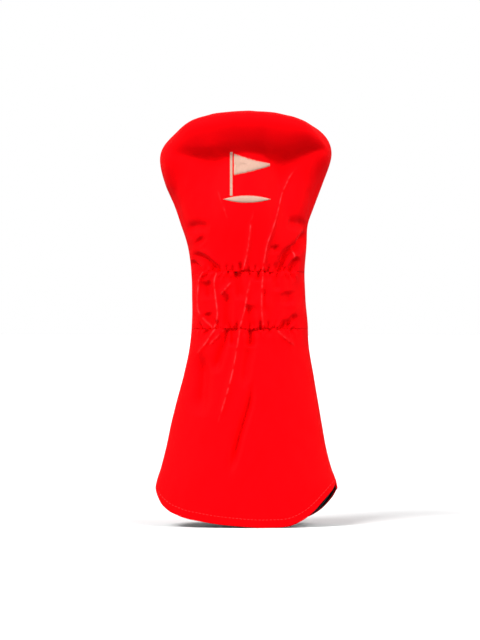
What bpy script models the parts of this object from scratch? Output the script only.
"""Driver head cover: a padded and lined fabric sleeve with an elastic waist, standing on its hem.

+Z runs up the cover, the decorated front faces -Y, and the origin lies on the surface that the
cover stands on, under its middle. Every size is in metres and every angle in degrees, measured
round the cover from the front (0) towards +X (90), the back (180) and -X (-90).

The cover is a stack of cloth layers that follow one outer shape, the shell. A layer is placed by
its depth under the shell's face, so neighbouring layers share the same curve and never cross.
"""

import math

import bmesh
import bpy
from mathutils import Vector

# The shell: overall sizes, then its half width and half depth at a few heights.
HEIGHT = 0.345
SHOULDER_HEIGHT = 0.305
HEAD_HALF_WIDTH = 0.072
HEAD_HALF_DEPTH = 0.041
WAIST_TOP = 0.211
WAIST_BOTTOM = 0.164
WAIST_HALF_WIDTH = 0.0475
WAIST_HALF_DEPTH = 0.0240
HEM_HALF_WIDTH = 0.0775
HEM_HALF_DEPTH = 0.0315
HALF_WIDTHS = (
    (0.0, HEM_HALF_WIDTH),
    (0.035, 0.0752),
    (0.090, 0.0625),
    (0.140, 0.0515),
    (0.188, WAIST_HALF_WIDTH),
    (WAIST_TOP, 0.0480),
    (0.240, 0.0510),
    (0.270, 0.0610),
    (SHOULDER_HEIGHT, HEAD_HALF_WIDTH),
)
HALF_DEPTHS = (
    (0.0, HEM_HALF_DEPTH),
    (0.100, 0.0280),
    (WAIST_BOTTOM, WAIST_HALF_DEPTH),
    (WAIST_TOP, WAIST_HALF_DEPTH),
    (0.250, 0.0345),
    (0.280, 0.0400),
    (SHOULDER_HEIGHT, HEAD_HALF_DEPTH),
)
SECTION_POWER = 2.3
DOME_POWER = 2.2

# The hem is straight in the middle of each side and sweeps up to a vent at the side seams.
HEM_FLAT_HALF_WIDTH = 0.020
VENT_HEIGHT = 0.033
VENT_SWEEP_POWER = 2.1

# Clearances between pieces, and the depths of the layers under the shell's face.
GAP = 0.0003
SEAM_HALF_GAP = 0.0005
OUTER = (0.0, 0.0010)
STABILISER = (0.0017, 0.0020)
FOAM_FACE = 0.0026
FOAM_THICKNESS = 0.0035
FOAM_TAPER_HEIGHT = 0.020
FOAM_LEAST = 0.0010
LINING_THICKNESS = 0.0012
ELASTIC = (0.0013, 0.0024)
WAIST_LINING = (0.0027, 0.0039)
TURN_UP = (0.0013, 0.0021)
SKIRT_LINING = (0.0027, 0.0039)
LABEL = (0.0042, 0.0046)

# The gathered part of the waist, front and back, its elastic, and the plain sides' edge gap.
GATHER_HALF_ANGLE = 51.0
SIDE_EDGE_GAP_ANGLE = 0.6
ELASTIC_MARGIN = 0.0020

# The hem's turned-up edge, and how far above the hem the lining ends.
TURN_UP_HEIGHT = 0.0100
LINING_SETBACK = 0.0030

# Threads lie on the outer cloth, and stop short of the edges of the piece that they hold.
THREAD_RADIUS = 0.00030
THREAD_PROUD = 0.00070
GATHER_THREAD_INSET = 0.0020
GATHER_THREAD_HALF_ANGLE = 49.0
HEM_THREAD_INSET = 0.0065
HEM_THREAD_HALF_ANGLE = 84.0
CROWN_THREAD_DEPTH = 0.0006

# The embroidered emblem: a pennant on a pole over a putting green.
# Its shapes are in halves of its size, from its middle.
EMBLEM_HEIGHT = 0.289
EMBLEM_SIZE = 0.042
EMBLEM_PROUD = (-0.0011, -0.0003)
STABILISER_RADIUS = 0.026
PENNANT_REACH = (-0.50, 0.90)
PENNANT_MIDDLE = 0.52
PENNANT_SAG = 0.04
PENNANT_HALF_HEIGHTS = (0.44, 0.06)
POLE_X = -0.62
POLE_HALF_WIDTH = 0.055
POLE_MIDDLE = 0.14
POLE_HALF_HEIGHT = 0.86
GREEN_MIDDLE = -0.86
GREEN_HALF_WIDTH = 0.92
GREEN_HALF_HEIGHT = 0.15

# The blank woven label in the left side seam, and the bartacks over the two vents.
LABEL_HALF_ANGLE = 14.0
LABEL_SPAN = (0.086, 0.118)
BARTACK_HALF_HEIGHT = 0.0035
BARTACK_HALF_ANGLE = 1.6
BARTACK_PROUD = (-0.0012, -0.0003)

# Mesh fineness: columns and rows of each layer, and runs of each thread.
HEAD_GRID = (16, 11)
SKIRT_GRID = (18, 7)
TURN_UP_GRID = (18, 1)
WAIST_GRID = (10, 2)
PENNANT_GRID = (7, 3)
POLE_GRID = (1, 6)
GREEN_GRID = (8, 2)
STABILISER_GRID = (6, 8)
BARTACK_GRID = (2, 1)
LABEL_GRID = (4, 3)
GATHER_THREAD_RUNS = 24
HEM_THREAD_RUNS = 52
CROWN_THREAD_RUNS = 26
SHARE_BELOW_SHOULDER = 0.55
HEIGHT_STEP = 1e-5
ANGLE_STEP = 0.01
MERGE_DISTANCE = 1e-6

SIDES = (("front", 0.0), ("back", 180.0))
COLOURS = {
    "outer_cloth": ((0.80, 0.006, 0.010), 0.42),
    "lining": ((0.010, 0.010, 0.011), 0.95),
    "foam": ((0.16, 0.16, 0.17), 0.90),
    "elastic": ((0.62, 0.60, 0.57), 0.80),
    "stabiliser": ((0.75, 0.75, 0.73), 0.85),
    "embroidery": ((0.72, 0.58, 0.47), 0.45),
    "red_thread": ((0.85, 0.02, 0.03), 0.50),
    "label": ((0.80, 0.80, 0.78), 0.55),
}


def along(stations, height):
    """Smooth value at a height, through (height, value) stations, level at the last one."""
    if height <= stations[0][0]:
        return stations[0][1]
    if height >= stations[-1][0]:
        return stations[-1][1]
    index = max(i for i, (z, _) in enumerate(stations) if z <= height)

    def slope(i):
        if i == len(stations) - 1:
            return 0.0
        (z0, v0), (z1, v1) = stations[max(i - 1, 0)], stations[i + 1]
        return (v1 - v0) / (z1 - z0)

    (z0, v0), (z1, v1) = stations[index], stations[index + 1]
    span = z1 - z0
    t = (height - z0) / span
    rise = v0 * (2 * t**3 - 3 * t**2 + 1) + v1 * (3 * t**2 - 2 * t**3)
    bend = slope(index) * (t**3 - 2 * t**2 + t) + slope(index + 1) * (t**3 - t**2)
    return rise + bend * span


def dome_share(height):
    """How much of the shoulder's width is left at a height in the domed top."""
    rise = max(0.0, (height - SHOULDER_HEIGHT) / (HEIGHT - SHOULDER_HEIGHT))
    return max(0.0, 1.0 - min(rise, 1.0) ** DOME_POWER) ** (1.0 / DOME_POWER)


def signed_power(value, power):
    return math.copysign(abs(value) ** power, value)


def shell_point(angle, height):
    """The point on the shell's outer face at that angle and height."""
    turn = math.radians(angle)
    share = dome_share(height)
    half_width = along(HALF_WIDTHS, height) * share
    half_depth = along(HALF_DEPTHS, height) * share
    x = half_width * signed_power(math.sin(turn), 2 / SECTION_POWER)
    y = -half_depth * signed_power(math.cos(turn), 2 / SECTION_POWER)
    return Vector((x, y, height))


def shell_normal(angle, height):
    """The outward direction there; it has no Y part on the side seams."""
    if height > HEIGHT - HEIGHT_STEP:
        return Vector((0, 0, 1))
    low = max(height - HEIGHT_STEP, 0.0)
    up = shell_point(angle, height + HEIGHT_STEP) - shell_point(angle, low)
    on_seam = math.isclose(abs(angle), 90.0) or math.isclose(angle, 270.0)
    if on_seam:
        side = math.copysign(1.0, math.sin(math.radians(angle)))
        return Vector((up.z * side, 0, -up.x * side)).normalized()
    left = shell_point(angle - ANGLE_STEP, height)
    right = shell_point(angle + ANGLE_STEP, height)
    return (right - left).cross(up).normalized()


def under(angle, height, depth):
    """The point at a depth under the shell's face."""
    return shell_point(angle, height) - shell_normal(angle, height) * depth


def kept_off_seam(point, facing):
    """Moves a point off the side seams' plane, towards the front or the back."""
    shift = -SEAM_HALF_GAP if facing == 0.0 else SEAM_HALF_GAP
    return point + Vector((0, shift, 0))


def hem_height(angle):
    """Height of the hem: flat in the middle, sweeping up to the vents at the side seams."""
    x = abs(shell_point(angle, 0.0).x)
    run = max(0.0, x - HEM_FLAT_HALF_WIDTH) / (HEM_HALF_WIDTH - HEM_FLAT_HALF_WIDTH)
    return VENT_HEIGHT * run**VENT_SWEEP_POWER


def cloth(name, place, grid, outside, inside, finish):
    """One closed layer of cloth. place(u, v, depth) gives a point for u and v from -1 to 1;
    outside(v) and inside(v) are the depths of its two faces."""
    mesh = bmesh.new()
    bmesh.ops.create_grid(mesh, x_segments=grid[0], y_segments=grid[1], size=1.0)
    grown = bmesh.ops.extrude_face_region(mesh, geom=mesh.faces[:])
    inner = {item for item in grown["geom"] if isinstance(item, bmesh.types.BMVert)}
    for vertex in mesh.verts:
        u, v, _ = vertex.co
        depth = inside(v) if vertex in inner else outside(v)
        vertex.co = place(u, v, depth)
    bmesh.ops.remove_doubles(mesh, verts=mesh.verts[:], dist=MERGE_DISTANCE)
    bmesh.ops.recalc_face_normals(mesh, faces=mesh.faces[:])
    data = bpy.data.meshes.new(name)
    mesh.to_mesh(data)
    mesh.free()
    data.shade_smooth()
    return add_object(name, data, finish)


def even(depths):
    """Face depths that are the same all over a layer."""
    return (lambda v: depths[0]), (lambda v: depths[1])


def thread(name, points, finish):
    """A sewing thread through the points, as a thin tube."""
    curve = bpy.data.curves.new(name, "CURVE")
    curve.dimensions = "3D"
    curve.bevel_depth = THREAD_RADIUS
    curve.bevel_resolution = 0
    curve.use_fill_caps = True
    spline = curve.splines.new("POLY")
    spline.points.add(len(points) - 1)
    for spot, point in zip(spline.points, points):
        spot.co = (*point, 1.0)
    return add_object(name, curve, finish)


def add_object(name, data, finish):
    obj = bpy.data.objects.new(name, data)
    bpy.context.scene.collection.objects.link(obj)
    obj.data.materials.append(finish)
    return obj


def make_finish(name):
    colour, roughness = COLOURS[name]
    finish = bpy.data.materials.new(name)
    finish.use_nodes = True
    shader = finish.node_tree.nodes["Principled BSDF"]
    shader.inputs["Base Color"].default_value = (*colour, 1.0)
    shader.inputs["Roughness"].default_value = roughness
    shader.inputs["Metallic"].default_value = 0.0
    finish.diffuse_color = (*colour, 1.0)
    return finish


def head_height(v):
    """Height up the head for v from -1 at the waist to 1 at the top, closer together in the dome."""
    share = (v + 1) / 2
    bottom = WAIST_TOP + GAP / 2
    if share <= SHARE_BELOW_SHOULDER:
        return bottom + (SHOULDER_HEIGHT - bottom) * share / SHARE_BELOW_SHOULDER
    turn = (share - SHARE_BELOW_SHOULDER) / (1 - SHARE_BELOW_SHOULDER) * math.pi / 2
    return SHOULDER_HEIGHT + (HEIGHT - SHOULDER_HEIGHT) * math.sin(turn)


def foam_inside(v):
    """Depth of the foam's inner face: it thins out towards the waist."""
    rise = (head_height(v) - WAIST_TOP) / FOAM_TAPER_HEIGHT
    share = min(1.0, max(0.0, rise))
    return FOAM_FACE + FOAM_LEAST + (FOAM_THICKNESS - FOAM_LEAST) * share


def make_head(finishes):
    """Outer cloth, foam and lining of the head, front and back."""
    for side, facing in SIDES:

        def place(u, v, depth, facing=facing):
            return kept_off_seam(under(facing + 90 * u, head_height(v), depth), facing)

        outer = finishes["outer_cloth"]
        cloth(f"{side}_head_panel", place, HEAD_GRID, *even(OUTER), outer)
        cloth(
            f"{side}_head_foam",
            place,
            HEAD_GRID,
            lambda v: FOAM_FACE,
            foam_inside,
            finishes["foam"],
        )
        cloth(
            f"{side}_head_lining",
            place,
            HEAD_GRID,
            lambda v: foam_inside(v) + GAP,
            lambda v: foam_inside(v) + GAP + LINING_THICKNESS,
            finishes["lining"],
        )


def make_waist(finishes):
    """The elastic middle: a gathered front and back that stretch outwards, and plain sides."""
    top, bottom = WAIST_TOP - GAP / 2, WAIST_BOTTOM + GAP / 2
    outer, lining = finishes["outer_cloth"], finishes["lining"]

    def band(centre, half_angle, margin=0.0):
        """Cloth round the waist between two angles; the margin leaves its top and bottom bare. Its
        layers are offset level, so that the moving bands slide past the head and the skirt."""

        def place(u, v, depth):
            low, high = bottom + margin, top - margin
            height = (low + high) / 2 + v * (high - low) / 2
            point = under(centre + half_angle * u, height, depth)
            point.z = height
            return point

        return place

    for side, facing in SIDES:
        gathered = band(facing, GATHER_HALF_ANGLE)
        narrow = band(facing, GATHER_HALF_ANGLE, ELASTIC_MARGIN)
        cloth(f"waist_{side}_panel", gathered, WAIST_GRID, *even(OUTER), outer)
        cloth(
            f"waist_{side}_elastic",
            narrow,
            WAIST_GRID,
            *even(ELASTIC),
            finishes["elastic"],
        )
        cloth(f"waist_{side}_lining", gathered, WAIST_GRID, *even(WAIST_LINING), lining)
        for row, height in (
            ("upper", top - GATHER_THREAD_INSET),
            ("lower", bottom + GATHER_THREAD_INSET),
        ):
            points = []
            for i in range(GATHER_THREAD_RUNS + 1):
                share = 2 * i / GATHER_THREAD_RUNS - 1
                angle = facing + GATHER_THREAD_HALF_ANGLE * share
                points.append(under(angle, height, -THREAD_PROUD))
            thread(f"{side}_{row}_gather_thread", points, finishes["red_thread"])

    half_angle = 90 - GATHER_HALF_ANGLE - SIDE_EDGE_GAP_ANGLE
    for side, facing in (("right", 90.0), ("left", -90.0)):
        plain = band(facing, half_angle)
        cloth(f"waist_{side}_side", plain, WAIST_GRID, *even(OUTER), outer)
        cloth(f"waist_{side}_side_lining", plain, WAIST_GRID, *even(WAIST_LINING), lining)


def make_skirt(finishes):
    """The flared skirt below the waist, its turned-up hem, lining and topstitching."""
    top = WAIST_BOTTOM - GAP / 2
    outer = finishes["outer_cloth"]

    def strip(facing, low_rise, high_rise=None):
        """Cloth from one height above the hem to another, or to the waist. Its layers are offset
        level, so that the hem's edge is flat where it meets the ground."""

        def place(u, v, depth):
            angle = facing + 90 * u
            low = hem_height(angle) + low_rise
            high = top if high_rise is None else hem_height(angle) + high_rise
            height = low + (high - low) * (v + 1) / 2
            point = kept_off_seam(under(angle, height, depth), facing)
            point.z = height
            return point

        return place

    for side, facing in SIDES:
        cloth(
            f"{side}_skirt_panel", strip(facing, 0.0), SKIRT_GRID, *even(OUTER), outer
        )
        cloth(
            f"{side}_hem_turn_up",
            strip(facing, 0.0, TURN_UP_HEIGHT),
            TURN_UP_GRID,
            *even(TURN_UP),
            finishes["lining"],
        )
        cloth(
            f"{side}_skirt_lining",
            strip(facing, LINING_SETBACK),
            SKIRT_GRID,
            *even(SKIRT_LINING),
            finishes["lining"],
        )
        points = []
        for i in range(HEM_THREAD_RUNS + 1):
            angle = facing + HEM_THREAD_HALF_ANGLE * (2 * i / HEM_THREAD_RUNS - 1)
            height = hem_height(angle) + HEM_THREAD_INSET
            points.append(kept_off_seam(under(angle, height, -THREAD_PROUD), facing))
        thread(f"{side}_hem_thread", points, finishes["red_thread"])


def make_crown_seam(finishes):
    """The thread that closes the seam between the two head panels, from waist over the top to waist."""
    right = []
    for i in range(1, CROWN_THREAD_RUNS):
        height = head_height(2 * i / CROWN_THREAD_RUNS - 1) - GAP
        right.append(under(90.0, height, CROWN_THREAD_DEPTH))
    crest = under(90.0, HEIGHT, CROWN_THREAD_DEPTH)
    left = [Vector((-p.x, p.y, p.z)) for p in reversed(right)]
    for point in right + [crest] + left:
        point.y = 0.0
    thread("crown_seam_thread", right + [crest] + left, finishes["red_thread"])


def on_front(x, height, depth):
    """The point at a depth under the shell's front face, straight behind (x, height)."""
    half_width = along(HALF_WIDTHS, height) * dome_share(height)
    sine = signed_power(x / half_width, SECTION_POWER / 2)
    return kept_off_seam(under(math.degrees(math.asin(sine)), height, depth), 0.0)


def on_emblem(x, z, depth):
    """The point on the head's front at a place given in halves of the emblem's size."""
    half = EMBLEM_SIZE / 2
    return on_front(x * half, EMBLEM_HEIGHT + z * half, depth)


def make_emblem(finishes):
    """Embroidered pennant, pole and green on the head's front, and the stabiliser behind them."""

    def pennant(u, v, depth):
        """A flag that narrows from the pole on the left to a blunt tip on the right."""
        reach = (u + 1) / 2
        x = PENNANT_REACH[0] + (PENNANT_REACH[1] - PENNANT_REACH[0]) * reach
        middle = PENNANT_MIDDLE - PENNANT_SAG * math.sin(math.pi * reach)
        hoist, tip = PENNANT_HALF_HEIGHTS
        return on_emblem(x, middle + (hoist + (tip - hoist) * reach) * v, depth)

    def pole(u, v, depth):
        x = POLE_X + POLE_HALF_WIDTH * u
        return on_emblem(x, POLE_MIDDLE + POLE_HALF_HEIGHT * v, depth)

    def green(u, v, depth):
        """A lens lying under the pole."""
        spread = GREEN_HALF_HEIGHT * (1 - u * u)
        return on_emblem(GREEN_HALF_WIDTH * u, GREEN_MIDDLE + spread * v, depth)

    def stabiliser(u, v, depth):
        """A round patch, from a square grid whose rows shrink towards the top and bottom."""
        z = math.sin(v * math.pi / 2)
        x = u * math.sqrt(max(0.0, 1 - z * z))
        height = EMBLEM_HEIGHT + STABILISER_RADIUS * z
        return on_front(STABILISER_RADIUS * x, height, depth)

    stitched = finishes["embroidery"]
    cloth("emblem_pennant", pennant, PENNANT_GRID, *even(EMBLEM_PROUD), stitched)
    cloth("emblem_pole", pole, POLE_GRID, *even(EMBLEM_PROUD), stitched)
    cloth("emblem_green", green, GREEN_GRID, *even(EMBLEM_PROUD), stitched)
    cloth(
        "emblem_stabiliser",
        stabiliser,
        STABILISER_GRID,
        *even(STABILISER),
        finishes["stabiliser"],
    )


def make_trims(finishes):
    """The bartacks that close the side seams above the vents, and the blank woven label."""
    centre = VENT_HEIGHT + 2 * BARTACK_HALF_HEIGHT
    for side, facing in (("right", 90.0), ("left", -90.0)):

        def tack(u, v, depth, facing=facing):
            height = centre + BARTACK_HALF_HEIGHT * v
            return under(facing + BARTACK_HALF_ANGLE * u, height, depth)

        name = f"{side}_vent_bartack"
        cloth(name, tack, BARTACK_GRID, *even(BARTACK_PROUD), finishes["red_thread"])

    def label(u, v, depth):
        low, high = LABEL_SPAN
        height = (low + high) / 2 + v * (high - low) / 2
        return under(-90 + LABEL_HALF_ANGLE * u, height, depth)

    cloth("care_label", label, LABEL_GRID, *even(LABEL), finishes["label"])


def main():
    for obj in list(bpy.data.objects):
        bpy.data.objects.remove(obj)
    finishes = {name: make_finish(name) for name in COLOURS}
    make_head(finishes)
    make_waist(finishes)
    make_skirt(finishes)
    make_crown_seam(finishes)
    make_emblem(finishes)
    make_trims(finishes)


main()
